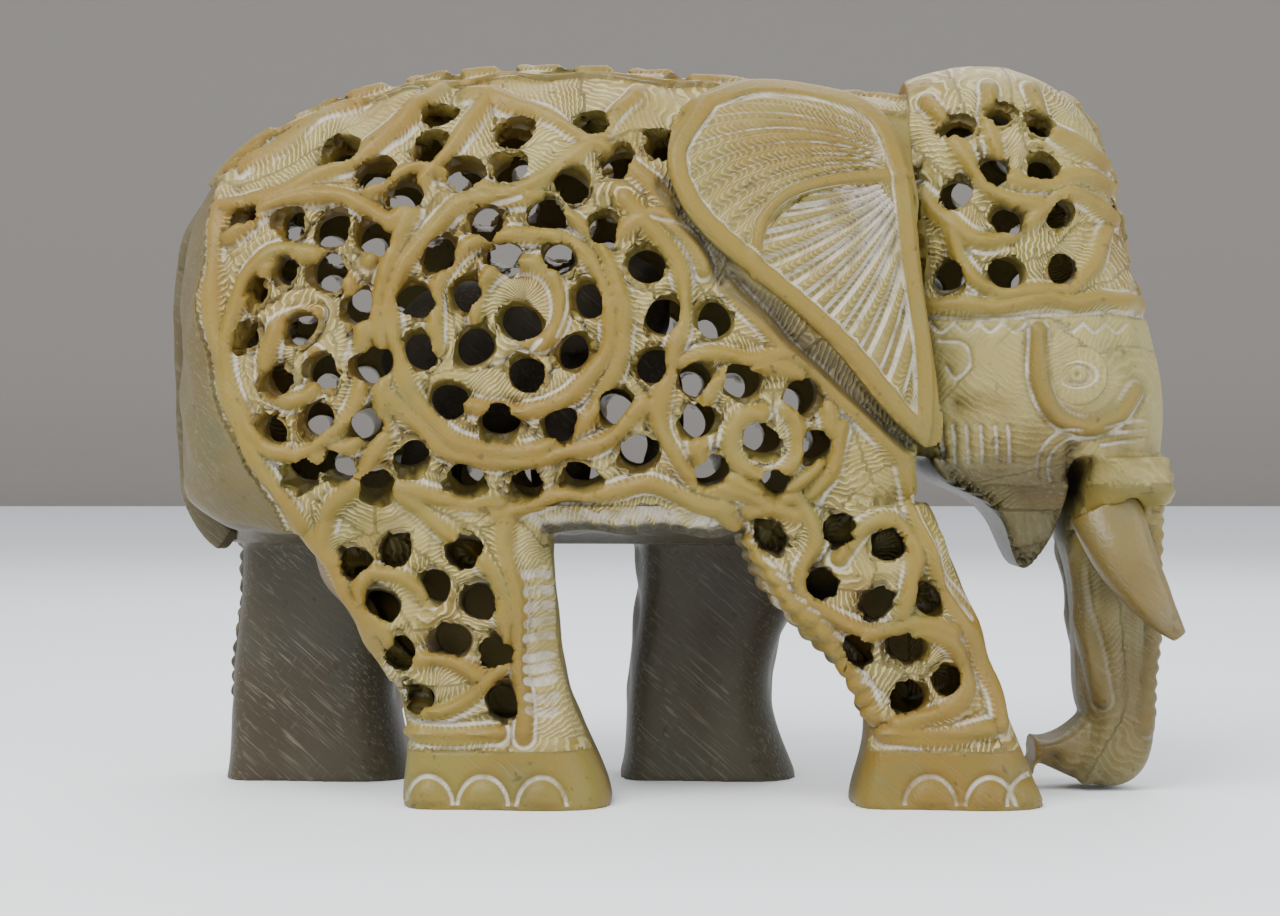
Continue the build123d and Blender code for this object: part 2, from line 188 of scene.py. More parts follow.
hindRightLines = {
    "ribs": [
        [(-80, 63), (-72.6, 53.6), (-65.5, 41), (-60.6, 29), (-57.4, 19)],
        [(-69.6, 60.5), (-72, 54.5), (-70, 50.5), (-62.5, 48.6), (-56, 47.5), (-50, 43)],
        [(-58, 66), (-47, 57.5), (-38.6, 49.6), (-35.2, 41.7), (-35, 31), (-38, 25.5), (-46.3, 20.2),
         (-54, 20.5)],
        [(-62.5, 48.6), (-63.4, 43), (-60.6, 36.5), (-55.4, 31.2), (-47, 31.2), (-40.5, 26.8)],
        [(-34.6, 60), (-34.6, 52.1), (-32.2, 43), (-31.4, 31), (-30.2, 21), (-30.5, 15)],
        [(-55.8, 15.6), (-46, 14.8), (-36, 15.6)],
    ],
    "notches": [[(-30.6 + 0.05 * (48 - z), z), (-25.9 + 0.07 * (48 - z), z - 0.2)]
             for z in (48.1, 44.8, 41.7, 38.7, 35.7, 31.4, 28.9, 26.3, 22.9, 20.2)],
}
foreRightLines = {
    "ribs": [
        [(47, 72), (48.6, 65), (53.0, 51), (58.0, 41.4), (62.6, 32.5), (66, 24.9), (67.4, 17.3)],
        [(9, 61.5), (18.2, 50.9), (25, 42.4), (31.3, 34.8), (37.7, 26.4), (41.0, 18.5)],
        [(17.4, 62.5), (25.4, 63.4), (28.8, 56), (26.6, 49), (27.6, 42.7), (33, 38.2), (43, 36.2), (51, 38.2),
         (56.5, 37)],
        [(33.8, 51.5), (39.5, 58.6), (46.2, 57.8), (48.9, 49.7), (46.6, 39.4)],
        [(43, 36.2), (54.4, 35.7), (60.0, 28.7), (59.6, 22.6), (53.5, 19.4), (46, 17)],
        [(43, 15.2), (54, 14.6), (64.5, 16.4)],
        [(15, 60), (20, 61.6), (26, 60)],
    ],
    "cuts": [[(11.5 + (61 - z) * 0.82, z), (13.2 + (61 - z) * 0.82, z - 1.4)] for z in np.arange(22, 60, 2.7)]
            + [[(49, 64), (54.6, 50.5), (60.4, 38.6)], [(50.5, 60), (56.6, 46)]],
}
foreLeftLines = {
    "ribs": [[(-5, 60), (-4.5, 44), (-5.5, 28), (-6.4, 16)], [(33, 60), (28, 44), (22, 30), (20, 16)],
             [(-3, 50), (4, 50.5), (11, 50), (20, 50.5)], [(-4, 39), (6, 39), (19, 38)],
             [(-4, 28), (5, 27.5), (18, 27)], [(-8, 15.2), (6, 14.6), (21, 15.2)]],
    "cuts": [[(26, z), (29, z - 0.3)] for z in np.arange(46, 60, 2.8)],
}
hindLeftLines = {
    "ribs": [[(-93, 60), (-93.5, 44), (-95, 28), (-96, 16)], [(-61, 60), (-62.5, 44), (-64, 28), (-64, 16)],
             [(-84, 60), (-82, 46), (-83, 30), (-84.5, 18)], [(-72, 60), (-72, 44), (-73.5, 30), (-74, 18)],
             [(-97, 15.2), (-80, 14.6), (-62, 15.2)]],
    "cuts": [[(-59.6, z), (-56.6, z - 0.3)] for z in np.arange(24, 58, 3.2)],
}
headLines = {
    "ribs": [
        [(54, 147), (57.9, 140.6), (61.4, 132.6), (67.1, 126.9), (75, 124.0)],
        [(51.2, 128), (57, 121), (63.2, 116.5), (71, 119), (78, 124.5), (86, 126), (93, 122)],
        [(66.8, 150), (66, 140), (69, 132), (77, 128.4), (86, 131), (93, 129)],
        [(76, 150), (79, 141), (86, 137), (92, 134)],
        [(58, 119), (60.5, 111), (68, 106.8), (78, 106.4), (87, 111), (91, 119)],
        [(51, 104.2), (64, 103.4), (78, 104.3), (92, 104.6), (102, 104.4)],
        [(75.4, 98), (75.6, 88), (79.4, 80.6), (86, 78.0), (92.6, 80.4), (96.4, 85.5)],
        [(84.4, 61.5), (90, 63.0), (95, 62.5)],
    ],
    "cuts": [
        [(51, 101.2), (64, 100.4), (78, 101.3), (92, 102), (102, 101.8)],
        [(73.4, 98.4), (73.4, 87.2), (77.8, 79.0), (86, 75.6), (94.4, 78.6), (99, 85)],
        [(55.2, 96), (60.2, 95.2), (61.3, 91), (58.6, 88.2), (56.6, 90.4)],
        ovalPath((83.5, 69.7), 5.0, 5.6, 70, 150), ovalPath((83.5, 69.7), 7.4, 8.0, 80, 120),
    ]
    + [[(x, 78.2), (x + 0.5, 74.4), (x + 0.9, 70.5)] for x in (55.6, 58.2, 60.9, 63.8, 66.8, 69.4)]
    + [[(89.5, z), (94, z + 0.7), (99.5, z + 1.4)] for z in (74.2, 76.2, 78.2)]
    + [[(x, 99.6), (x + 2.5, 97.8), (x + 5, 99.6)] for x in (53, 58, 63, 68, 80, 85, 90)],
}


trunkLines = {
    "ribs": [
        [(84.6, 58.8), (89, 61.0), (95, 60.6), (101, 58.6)],
        [(88, 55), (86, 50), (87, 40), (90, 30), (92, 20)],
        [(103, 70), (103.6, 50), (103, 30), (102, 14)],
    ],
    "cuts": [[(89, z), (94, z + 0.6), (99.4, z + 0.9)] for z in (68.4, 66.2, 64.0)]
            + [[(84.6, 60.5), (90, 62.6), (99, 61.0)]],
}


def treeOf(path):
    tree = kdtree.KDTree(len(path))
    for i, spot in enumerate(path):
        tree.insert((spot[0], 0.0, spot[1]), i)
    tree.balance()
    return tree


def lineTree(groups, kind):
    # a search tree over every carved line of one kind, with the distance run and the direction along each
    spots, runs, ways, start = [], [], [], 0.0
    for group in groups:
        for line in group.get(kind, []):
            path = smoothPath(line)
            steps = np.diff(path, axis=0)
            lengths = np.linalg.norm(steps, axis=1)
            run = np.concatenate([[0], np.cumsum(lengths)])
            way = steps / np.maximum(lengths, 1e-6)[:, None]
            spots.append(path)
            runs.append(run + start)
            ways.append(np.vstack([way, way[-1:]]))
            start += run[-1] + 3.7
    spots, runs, ways = np.vstack(spots), np.concatenate(runs), np.vstack(ways)
    tree = kdtree.KDTree(len(spots))
    for i, spot in enumerate(spots):
        tree.insert((spot[0], 0.0, spot[1]), i)
    tree.balance()
    return tree, runs, ways


def nearestLines(points, which, tree, runs, ways, reach=30.0):
    distance = np.full(len(points), reach)
    along = np.zeros(len(points))
    way = np.zeros((len(points), 2))
    for i in np.flatnonzero(which):
        spot, index, gap = tree.find((points[i, 0], 0.0, points[i, 2]))
        distance[i] = gap
        along[i] = runs[index]
        way[i] = ways[index]
    return distance, along, way


eyePlace = (83.5, 89.0)

# the block: body, legs, feet, head, jaw and trunk are one piece of stone, carved as one and then divided
blockSettings = {
    "voxel": 0.65,
    "ribHeight": 1.35,
    "ribHalfWidth": 2.3,
    "grooveDepth": 0.4,
    "cutDepth": 0.75,
    "dishDepth": 2.3,  # how far a leaf dips into the hole ahead of it
    "dishReach": 2.6,
    "rimFall": 0.7,
    "wallReach": 5.5,  # how deep a hole's wall follows its rim
    "unevenHoles": 0.8,
}
blockNodes = ["back_panel", "flank_right", "flank_left", "chest", "rump", "belly",
              "foreleg_right", "foreleg_left", "hindleg_right", "hindleg_left",
              "forefoot_right", "forefoot_left", "hindfoot_right", "hindfoot_left",
              "crown", "brow_band", "face", "jaw", "trunk"]

print("joining and remeshing the block")
block = copyNodes(blockNodes, "block")
carveReady(block, blockSettings["voxel"])
points, normals = readMm(block)
print("block has", len(points), "points")

# what looks straight out into the open is skin; the rest is hole wall or hollow
tree = BVHTree.FromPolygons([tuple(p) for p in points], [tuple(f.vertices) for f in block.data.polygons])
skin = np.ones(len(points), dtype=bool)
for i in range(len(points)):
    start = Vector(points[i] + normals[i] * 0.5)
    if tree.ray_cast(start, Vector(normals[i]), 26.0)[0] is not None:
        skin[i] = False
x, y, z = points[:, 0], points[:, 1], points[:, 2]
# the jaw and trunk face the legs and each other, and are skin all the same
skin |= (z < 60) & (np.abs(y) < 30) & (normals[:, 2] > -0.5) & (x > 50)
skinTree = kdtree.KDTree(int(skin.sum()))
for i in np.flatnonzero(skin):
    skinTree.insert(points[i], i)
skinTree.balance()
deep = np.zeros(len(points))
nearSkin = np.arange(len(points))
for i in np.flatnonzero(~skin):
    _, nearSkin[i], deep[i] = skinTree.find(points[i])
wall = (~skin) & (deep < 3.0)
wallTree = kdtree.KDTree(int(wall.sum()))
for i in np.flatnonzero(wall):
    wallTree.insert(points[i], i)
wallTree.balance()
rim = np.full(len(points), 9.0)
toHole = np.zeros((len(points), 2))
for i in np.flatnonzero(skin):
    spot, index, gap = wallTree.find(points[i])
    rim[i] = min(9.0, gap)
    toHole[i] = (spot[0] - points[i, 0], spot[2] - points[i, 2])
toHole /= np.maximum(np.linalg.norm(toHole, axis=1), 0.3)[:, None]
print("skin", int(skin.sum()), "wall", int(wall.sum()))

eyeGap = np.hypot(x - eyePlace[0], z - eyePlace[1])
rim[(eyeGap < 9) & (x > 50)] = 9.0  # the eyes' pockets aren't holes
outward = normals[:, 1] * np.sign(y)
head = x > 50
side = skin & (outward > 0.12) & ((np.abs(y) > 20) | head)
rightSide, leftSide = side & (y < 0), side & (y > 0)
trunkSide = skin & head & (z < 72) & (np.abs(y) < 18) & (x > 60) & (outward > 0.12)
ribDist = np.full(len(points), 30.0)
ribRun = np.zeros(len(points))
cutDist = np.full(len(points), 30.0)
flow = np.zeros((len(points), 2))
sets = [
    (rightSide & ~head & (z > 12), [flankLines, bellyLines, hindRightLines, foreRightLines]),
    (rightSide & head & (z <= 66) & (z > 12) & ~trunkSide, [foreRightLines]),
    (leftSide & ~head & (z > 12), [flankLines, bellyLines, hindLeftLines, foreLeftLines]),
    (side & head & (z > 66) & ~trunkSide, [headLines]),
    (trunkSide, [trunkLines]),
]
for which, groups in sets:
    gap, run, way = nearestLines(points, which, *lineTree(groups, "ribs"))
    cut, _, _ = nearestLines(points, which, *lineTree(groups, "cuts"))
    if any("notches" in group for group in groups):
        notch, _, _ = nearestLines(points, which, *lineTree(groups, "notches"))
        cut = np.minimum(cut, np.maximum(notch - 0.55, 0.0))
    ribDist[which], ribRun[which] = gap[which], run[which]
    cutDist[which], flow[which] = cut[which], way[which]

# the back, brow and rump carry plaited ribs, drawn round them instead of in side view
top = skin & ~side & (z > 110) & (normals[:, 2] > 0.3) & ~head
plait = np.minimum.reduce([np.abs(y - 12.3 * np.sin((x + 78 + shift) * math.pi / 24)) for shift in (0, 24)]
                          + [np.abs(np.abs(y) - 19.5)])
ribDist[top], ribRun[top] = plait[top], x[top]
brow = skin & ~side & (x > 84) & (z > 106)
sway = 7.5 * np.sin((z - 103) * math.pi / 12)
lattice = np.minimum(np.abs(y - sway), np.abs(y + sway))
ribDist[brow], ribRun[brow] = lattice[brow], z[brow]
rear = skin & ~side & (x < -85) & (z > 62)
fan = np.abs((np.degrees(np.arctan2(np.abs(y) + 4, 128 - z)) % 9.0) - 4.5) / 4.5 * 3.0
ribDist[rear], ribRun[rear] = fan[rear], z[rear]

# uncarved stone, given a dark tone that is partly painted shade: the inner sides of the legs, under the belly
# and behind the border band
bandX = np.interp(z, [53, 63, 77, 90, 106, 124, 140], [-72.6, -80, -88, -92.4, -94.6, -93.6, -91])
plain = ramp(0.25, -0.15, outward) * (z < 61) * ~head
plain = np.maximum(plain, 0.7 * ramp(0.0, 2.0, bandX - x - 2.0) * (z < 130) * ((z > 62) | (y < 0)))
plain = np.maximum(plain, ramp(-0.75, -0.92, normals[:, 2]) * (z > 40) * (z < 66) * ~head)
# painted shade on the jaw below the face and down the lower trunk
plain = np.maximum(plain, 0.7 * ramp(76, 68, z) * head * (z > 45) * (x < 84) * ((x > 65) | (z > 62)))
plain = np.maximum(plain, 0.55 * ramp(60, 40, z) * head * (x > 79) * (np.abs(y) < 18))
ribDist[(plain > 0.5) & ~head] = 30.0
# painted shade: a dark band along the trough on the flank, over its carved groove
trough = np.full(len(points), 30.0)
troughTree = treeOf(smoothPath([(-1.5, 127), (10, 111), (22.5, 98.5), (35.5, 87), (48, 76)]))
for i in np.flatnonzero(side & ~head & (z > 66) & (z < 130)):
    trough[i] = troughTree.find((x[i], 0.0, z[i]))[2]
plain = np.maximum(plain, 0.65 * ramp(3.2, 2.2, trough))
face = ramp(49, 51, x) * ramp(103.5, 100.5, z) * np.maximum(ramp(62, 66, z), (np.abs(y) < 18) & (x > 60))

# feet: three arched toenails on the outside
toeDist = np.full(len(points), 30.0)
toeSettings = {
    "forefoot_right": ([52.3, 64.5, 73.0], -1, (37, 77)),
    "hindfoot_right": ([-50.2, -38.9, -26.8], -1, (-56, -12.5)),
    "forefoot_left": ([2.5, 13.0, 23.0], 1, (-11.5, 28.5)),
    "hindfoot_left": ([-91.0, -79.5, -68.0], 1, (-100, -58)),
}
nailMound = np.zeros(len(points))
for places, sign, span in toeSettings.values():
    here = skin & (y * sign > 30) & (z < 13) & (x > span[0] - 3) & (x < span[1] + 3) & (z > 0.6)
    for place in places:
        away = np.hypot(x - place, (z - 0.5) * 0.82)
        toeDist[here] = np.minimum(toeDist[here], np.abs(away[here] - 5.2))
        nailMound[here] = np.maximum(nailMound[here], 1.0 - ramp(2.2, 4.8, away[here]))

b = blockSettings
width = b["ribHalfWidth"] * (1.0 + 0.3 * wobble(points, 17.0, 31))
carved = (ribDist < 25).astype(float)
ahead = np.clip(0.25 + (toHole * flow).sum(axis=1), 0.0, 1.0)
crest = np.clip(1.0 - ribDist / width, 0.0, 1.0)
rise = b["ribHeight"] * crest ** 0.8
rise -= b["grooveDepth"] * np.exp(-((ribDist - width - 0.4) / 0.6) ** 2)
rise -= b["cutDepth"] * np.exp(-(cutDist / 0.6) ** 2)
rise -= b["rimFall"] * np.exp(-rim / 1.0) * carved
rise -= b["dishDepth"] * ahead * np.exp(-rim / b["dishReach"]) * carved * ramp(0.3, 2.2, ribDist)
rise += 0.6 * nailMound - 0.9 * np.exp(-(toeDist / 0.8) ** 2)
rise += 0.22 * wobble(points, 9.0, 4) * carved
rise *= ramp(0.05, 0.3, np.abs(outward)) * side + (~side)
# the ledge above each foot
rise -= 0.5 * np.exp(-((z - 14.4) / 0.7) ** 2) * (side & (z > 12) & (z < 18) & ~trunkSide)

# scalloped edges down the right foreleg and the left hind leg
edge = skin & (y < -18) & (z > 18) & (z < 60) & (normals[:, 0] < -0.3) & (x > 5) & ~head
rise[edge] += 0.8 * np.abs(np.sin(z[edge] * math.pi / 3.1))
edge = skin & (y > 18) & (z > 18) & (z < 54) & (normals[:, 0] < -0.3) & (x < -85)
rise[edge] += 0.8 * np.abs(np.sin(z[edge] * math.pi / 3.4))
# small notches along the feet of the flank's ribs
edge = side & ~head & (z > 62) & (z < 126)
rise[edge] -= 0.5 * np.abs(np.sin(ribRun[edge] * math.pi / 2.6)) * np.exp(-((ribDist[edge] - 2.6) / 0.7) ** 2)
# pits behind the cheek and at the corner of the mouth, then round the eye a moat and a beaded border
cheek = side & head
for px, pz, radius, depth in ((58.5, 82.7, 1.5, 1.4), (83.7, 73.4, 1.9, 2.2)):
    rise[cheek] -= depth * np.exp(-(np.hypot(x[cheek] - px, z[cheek] - pz) / radius) ** 2)
rise[cheek] += 0.45 * np.exp(-((eyeGap[cheek] - 6.6) / 0.6) ** 2)
rise -= 0.9 * ramp(3.2, 1.8, trough)
# the groove from the mouth's corner, and the trunk's long ridge, wrinkles and nostril
rise[trunkSide] -= 0.9 * np.exp(-((x[trunkSide] - 84.6) / 1.3) ** 2) * ramp(56, 62, z[trunkSide])
down = skin & head & (z < 54) & (x > 77) & (np.abs(y) < 18) & (np.abs(normals[:, 1]) > 0.3)
ridge = np.abs(x - np.interp(z, [0, 10, 20, 45, 72], [88, 92, 95, 94.5, 94.5]))
rise[down] += (1.0 * np.exp(-(ridge / 1.6) ** 2) - 0.4 * np.exp(-((ridge - 3.4) / 0.8) ** 2))[down]
front = skin & head & (z < 72) & (normals[:, 0] > 0.3) & (z > 16) & (x > 90)
rise[front] += (0.25 * np.sin(z * 2 * math.pi / 3.2))[front]
rise[down] -= (1.4 * np.exp(-(np.hypot(x - 82.0, z - 7.0) / 1.5) ** 2))[down]
rise[~skin] = 0.0
rise[z < 1.0] = 0.0

# each hole's wall follows its rim, then the holes are pulled a little out of round
shift = normals * rise[:, None]
inside = ~skin
follow = np.clip(1.0 - deep[inside] / b["wallReach"], 0.0, 1.0)
shift[inside] = shift[nearSkin[inside]] * follow[:, None]
pierced = ramp(14, 22, z) * ramp(14, 22, np.abs(y)) * (1 - face)
shift[:, 0] += b["unevenHoles"] * wobble(points, 13.0, 51) * pierced
shift[:, 2] += b["unevenHoles"] * wobble(points, 13.0, 52) * pierced
points = points + shift
writeMm(block, points)
blockAttributes = {"ribDist": ribDist, "ribRun": ribRun, "cutDist": np.minimum(cutDist, toeDist),
                   "deep": deep, "cut": rise, "plain": plain, "face": face}

print("dividing the block")
blockTree = kdtree.KDTree(len(points))
for i, point in enumerate(points):
    blockTree.insert(point, i)
blockTree.balance()


def makeBox(low, high):
    # a cutting box given by two corners in millimetres
    low, high = Vector(low) * 0.001, Vector(high) * 0.001
    bpy.ops.object.select_all(action="DESELECT")
    bpy.ops.mesh.primitive_cube_add(size=1.0, location=(low + high) / 2)
    box = bpy.context.object
    box.scale = high - low
    bpy.ops.object.transform_apply(location=True, rotation=True, scale=True)
    return box


def cutOut(source, label, low, high, without=()):
    # the part of a mesh inside one box and outside the others
    piece = bpy.data.objects.new(label, source.data.copy())
    bpy.context.scene.collection.objects.link(piece)
    for operation, corners in [("INTERSECT", (low, high))] + [("DIFFERENCE", pair) for pair in without]:
        box = makeBox(*corners)
        applyModifier(piece, "BOOLEAN", operation=operation, solver="MANIFOLD", object=box)
        bpy.data.objects.remove(box)
    return piece


far = 300
regions = {
    "back_panel": ((-92, -20, 100), (43, 20, far)),
    "flank_right": ((-92, -far, 62), (43, -20, far)),
    "flank_left": ((-92, 20, 62), (43, far, far)),
    "chest": ((43, -far, 62), (50, far, far)),
    "rump": ((-far, -far, 62), (-92, far, far)),
    "belly": ((-far, -far, 53), (60, far, 62)),
    "foreleg_right": ((5, -far, 12), (76, 0, 53), ((66, -far, 47), (90, far, 60))),
    "hindleg_right": ((-90, -far, 12), (5, 0, 53)),
    "foreleg_left": ((-30, 0, 12), (60, far, 53)),
    "hindleg_left": ((-far, 0, 12), (-30, far, 53)),
    "forefoot_right": ((5, -far, -5), (79, -9, 12)),
    "hindfoot_right": ((-90, -far, -5), (5, 0, 12)),
    "forefoot_left": ((-30, 0, -5), (60, far, 12)),
    "hindfoot_left": ((-far, 0, -5), (-30, far, 12)),
    "face": ((50, -far, 72), (far, far, 101)),
    "brow_band": ((50, -far, 101), (far, far, 105)),
    "crown": ((50, -far, 105), (far, far, far)),
    "jaw": ((50, -far, 47), (84, far, 72), ((0, -far, 0), (60, far, 62)), ((0, -far, 0), (66, far, 53))),
    "trunk": ((76, -far, -5), (far, far, 72), ((0, -far, 20), (84, far, far)),
              ((0, -far, -9), (84, -9.1, 30)), ((0, 9.1, -9), (84, far, 30))),
}
pieces = {}
for name, (low, high, *without) in regions.items():
    piece = cutOut(block, "stone_" + name, low, high, without)
    own, _ = readMm(piece)
    index = np.array([blockTree.find(p)[1] for p in own], dtype=int)
    for key, values in blockAttributes.items():
        setAttribute(piece, key, values[index])
    pieces[name] = piece
    print("piece", name, len(own))
bpy.data.objects.remove(block)


def plainAttributes(piece, **given):
    count = len(piece.data.vertices)
    usual = {"ribDist": 30.0, "cutDist": 30.0}
    for key in ("ribDist", "ribRun", "cutDist", "deep", "cut", "plain", "face"):
        setAttribute(piece, key, given.get(key, np.full(count, usual.get(key, 0.0))))


earSettings = {
    "root": (49.5, 130.0),
    "voxel": 0.5,
    "rimWidth": 4.2,
    "fluteDepth": 1.45,
    "lowerPitch": 8.6,
    "upperPitch": 7.0,
}
earOutline = [(6, 147), (17, 151.2), (30, 150.2), (42, 145.5), (48, 133), (50.5, 112), (53.5, 90),
              (52.5, 74), (46, 78.5), (32, 94.5), (14, 110), (2.5, 121.5), (-1.2, 134), (6, 147)]
earMidline = [(48.5, 129.6), (41, 129.2), (34.2, 128.4), (24.1, 125.7), (18.7, 121), (16.6, 114.9),
              (16.5, 107)]


def makeEar(name, sign):
    piece = copyNodes([name], "stone_" + name)
    carveReady(piece, earSettings["voxel"], 2)
    points, normals = readMm(piece)
    x, y, z = points.T
    outside = normals[:, 1] * sign > 0.25
    rimTree, midTree = treeOf(smoothPath(earOutline)), treeOf(smoothPath(earMidline))
    rimGap = np.array([rimTree.find((px, 0, pz))[2] for px, pz in zip(x, z)])
    midGap = np.array([midTree.find((px, 0, pz))[2] for px, pz in zip(x, z)])
    dx, dz = x - earSettings["root"][0], z - earSettings["root"][1]
    radius = np.hypot(dx, dz)
    angle = np.degrees(np.arctan2(dz, dx)) % 360
    below = angle > 184 + np.clip(radius - 14, 0, 40) * 0.95  # which side of the midline
    lower = (angle + 0.34 * radius) / earSettings["lowerPitch"]
    upper = (angle - 0.75 * radius) / earSettings["upperPitch"]
    phase = np.where(below, lower, upper)
    shape = 0.5 - 0.5 * np.cos(2 * math.pi * phase)
    rimWidth = earSettings["rimWidth"]
    field = ramp(rimWidth - 0.8, rimWidth + 0.8, rimGap) * ramp(0.6, 2.0, midGap)
    field *= ramp(3.0, 12.0, radius)
    rise = np.zeros(len(points))
    rise += np.where(below, 1.0, 0.75) * earSettings["fluteDepth"] * (shape - 0.75) * field
    rise += 0.75 * (1 - field) * ramp(0.3, 1.2, rimGap)
    rise += 0.7 * np.exp(-(midGap / 1.2) ** 2)
    rise -= 0.5 * np.exp(-((rimGap - rimWidth) / 0.5) ** 2)
    rise[~outside] = 0.0
    points = points + normals * rise[:, None]
    writeMm(piece, points)
    # chalk lies along both flanks of each flute
    chalk = np.where(field > 0.5, np.abs(np.abs((phase % 1.0) - 0.5) - 0.30) * radius * 0.13 * 1.6, 30.0)
    chalk += np.where(below, -0.25, 0.2)  # broader in the lower fan
    chalk = np.minimum(chalk, np.abs(rimGap - rimWidth) + 0.15)
    chalk[~outside] = 30.0
    leaf = np.where(outside, 0.6 + field * (2.4 + 4.0 * (1 - shape)), 30.0)
    plainAttributes(piece, cutDist=chalk, ribDist=leaf,
                    ribRun=radius + 0.2 * rimGap, cut=rise)
    return piece


print("carving the ears")
for name, sign in (("ear_right", -1), ("ear_left", 1)):
    pieces[name] = makeEar(name, sign)

print("carving the tusks, tail, calf and eyes")


def makePlain(name, voxel, smoothing, unevenness, size, seed, plain=0.0):
    piece = copyNodes([name], "stone_" + name)
    carveReady(piece, voxel * (1.0), smoothing)
    points, normals = readMm(piece)
    rise = unevenness * wobble(points, size, seed)
    writeMm(piece, points + normals * rise[:, None])
    plainAttributes(piece, ribRun=points[:, 2], cut=rise, plain=np.full(len(points), plain))
    return piece


pieces["tusk_right"] = makePlain("tusk_right", 0.45, 4, 0.08, 7, 21)
pieces["tusk_left"] = makePlain("tusk_left", 0.45, 4, 0.08, 7, 22)
# the tail takes the uncarved stone's dark tone, partly painted shade
pieces["tail"] = makePlain("tail", 0.6, 6, 0.25, 9, 24, 0.85)
pieces["calf"] = makePlain("calf", 0.8, 8, 0.35, 8, 25)


def makeEye(name, sign):
    # a small almond eye with a drilled pupil, ringed by lashes
    piece = copyNodes([name], "stone_" + name)
    carveReady(piece, 0.28, 2)
    points, normals = readMm(piece)
    x, y, z = points.T
    dx, dz = x - eyePlace[0], z - eyePlace[1]
    radius = np.hypot(dx, dz)
    outside = y * sign > 27.0
    lid = np.hypot(dx, dz * 1.45)
    rise = 0.1 - 0.45 * np.exp(-((radius - 5.5) / 0.5) ** 2)
    rise += 0.55 * np.sqrt(np.clip(1 - (np.hypot(dx, dz) / 2.0) ** 2, 0, 1))
    rise -= 0.55 * np.exp(-((lid - 2.6) / 0.35) ** 2)
    rise += 0.30 * np.exp(-((lid - 3.4) / 0.4) ** 2)
    rise -= 0.9 * np.exp(-(np.hypot(dx, dz) / 0.55) ** 2)
    turn = np.degrees(np.arctan2(dz, dx))
    lash = 0.5 + 0.5 * np.cos(np.radians(turn) * 26)
    rise -= 0.28 * lash * np.exp(-((radius - 4.4) / 0.6) ** 2)
    points = points.copy()
    points[outside, 1] += sign * rise[outside]
    spread = 1.0 + 0.16 * ramp(3.5, 5.5, radius)  # the border laps over its pocket
    points[outside, 0] = eyePlace[0] + (dx * spread)[outside]
    points[outside, 2] = eyePlace[1] + (dz * spread)[outside]
    writeMm(piece, points)
    chalk = np.where(outside, np.minimum(np.abs(lid - 2.6), np.abs(lid - 4.0) + 0.1), 30.0)
    plainAttributes(piece, cutDist=chalk, cut=rise, ribDist=np.full(len(points), 8.0), ribRun=x,
                    face=np.ones(len(points)))
    return piece


pieces["eye_right"] = makeEye("eye_right", -1)
pieces["eye_left"] = makeEye("eye_left", 1)


